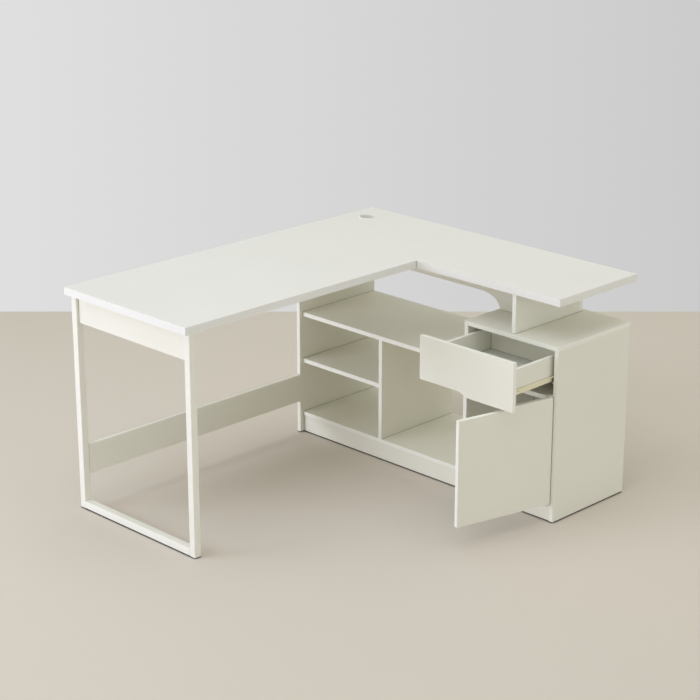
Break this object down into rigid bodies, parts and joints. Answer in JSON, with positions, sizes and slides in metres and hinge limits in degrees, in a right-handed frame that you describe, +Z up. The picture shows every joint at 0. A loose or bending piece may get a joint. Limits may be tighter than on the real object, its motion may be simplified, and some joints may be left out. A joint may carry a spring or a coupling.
{
  "type": "corner desk with drawer and cupboard",
  "caption": "White L-shaped corner desk: long top on a tube leg frame, return over open shelves and a cabinet with a pulled-out drawer and an open door.",
  "frame": {"origin": "on the floor, under the middle of the whole desk's box", "axes": "+Z up; +X from the tube leg frame towards the shelves and cabinet; +Y from the end of the return towards the long top's back edge"},
  "size_m": [1.4, 1.202, 0.7605],
  "materials": {
    "top_board": "satin white laminate on particle board",
    "white_board": "satin white laminate on particle board",
    "thin_board": "white faced hardboard",
    "white_steel": "satin white powder coat",
    "runner_steel": "cream epoxy coat",
    "zinc_steel": "bright zinc plate",
    "roller_nylon": "black nylon",
    "black_plastic": "matte black",
    "white_plastic": "satin white",
    "bumper_rubber": "clear grey",
    "beech": "plain beech"
  },
  "bodies": {
    "desk": {"apron": "white_board", "bottom_shelf": "white_board", "bracket_screws": "zinc_steel", "cam_bolts": "zinc_steel", "cam_locks": "zinc_steel", "case_back_panel": "thin_board", "case_bottom": "white_board", "case_left_panel": "white_board", "case_mid_board": "white_board", "case_plinth": "white_board", "case_right_panel": "white_board", "case_runner_screws": "zinc_steel", "case_top": "white_board", "divider": "white_board", "dowels": "beech", "fixed_runner_left": "runner_steel", "fixed_runner_right": "runner_steel", "floor_glides": "black_plastic", "frame_bottom_rail": "white_steel", "frame_front_leg": "white_steel", "frame_rear_leg": "white_steel", "grommet_ring": "white_plastic", "leg_foot_strip": "black_plastic", "leg_plate_screws": "zinc_steel", "leg_plates": "white_steel", "main_top": "top_board", "mid_shelf": "white_board", "pivot_plate_bottom": "white_steel", "pivot_plate_top": "white_steel", "pivot_screws": "zinc_steel", "return_top": "top_board", "riser_back": "white_board", "seam_plates": "zinc_steel", "seam_screws": "zinc_steel", "shelf_plinth_front": "white_board", "shelf_plinth_rear": "white_board", "spine_rail": "white_board", "stretcher": "white_board", "stretcher_bracket": "white_steel", "support_panel": "white_board", "tall_panel": "white_board", "top_shelf": "white_board"},
    "drawer": {"drawer_back": "white_board", "drawer_bottom": "thin_board", "drawer_front": "white_board", "drawer_runner_screws": "zinc_steel", "drawer_side_left": "white_board", "drawer_side_right": "white_board", "moving_runner_left": "runner_steel", "moving_runner_right": "runner_steel"},
    "door_leaf": {"door": "white_board", "door_bushes": "white_plastic", "door_bumpers": "bumper_rubber"},
    "fixed_roller_l": {"fixed_roller_left": "roller_nylon"},
    "fixed_roller_r": {"fixed_roller_right": "roller_nylon"},
    "moving_roller_l": {"moving_roller_left": "roller_nylon"},
    "moving_roller_r": {"moving_roller_right": "roller_nylon"}
  },
  "joints": [
    {"name": "drawer_slide", "type": "slide", "parent": "desk", "child": "drawer", "axis": [-1, 0, 0], "range_m": [-0.199, 0.021]},
    {"name": "door_hinge", "type": "hinge", "parent": "desk", "child": "door_leaf", "pos_m": [0.3, -0.579, 0.249], "axis": [0, 0, 1], "range_deg": [-76.5, 15.5]},
    {"name": "fixed_roller_left_spin", "type": "hinge", "parent": "desk", "child": "fixed_roller_l", "pos_m": [0.32, -0.2282, 0.48875], "axis": [0, 1, 0], "continuous": true},
    {"name": "moving_roller_left_spin", "type": "hinge", "parent": "drawer", "child": "moving_roller_l", "pos_m": [0.397, -0.2285, 0.48525], "axis": [0, 1, 0], "continuous": true},
    {"name": "fixed_roller_right_spin", "type": "hinge", "parent": "desk", "child": "fixed_roller_r", "pos_m": [0.32, -0.5798, 0.48875], "axis": [0, 1, 0], "continuous": true},
    {"name": "moving_roller_right_spin", "type": "hinge", "parent": "drawer", "child": "moving_roller_r", "pos_m": [0.397, -0.5795, 0.48525], "axis": [0, 1, 0], "continuous": true}
  ],
  "couplings": [
    {"joint": "fixed_roller_left_spin", "follows": "drawer_slide", "rad_per_m": -125},
    {"joint": "moving_roller_left_spin", "follows": "drawer_slide", "rad_per_m": -125},
    {"joint": "fixed_roller_right_spin", "follows": "drawer_slide", "rad_per_m": -125},
    {"joint": "moving_roller_right_spin", "follows": "drawer_slide", "rad_per_m": -125}
  ]
}
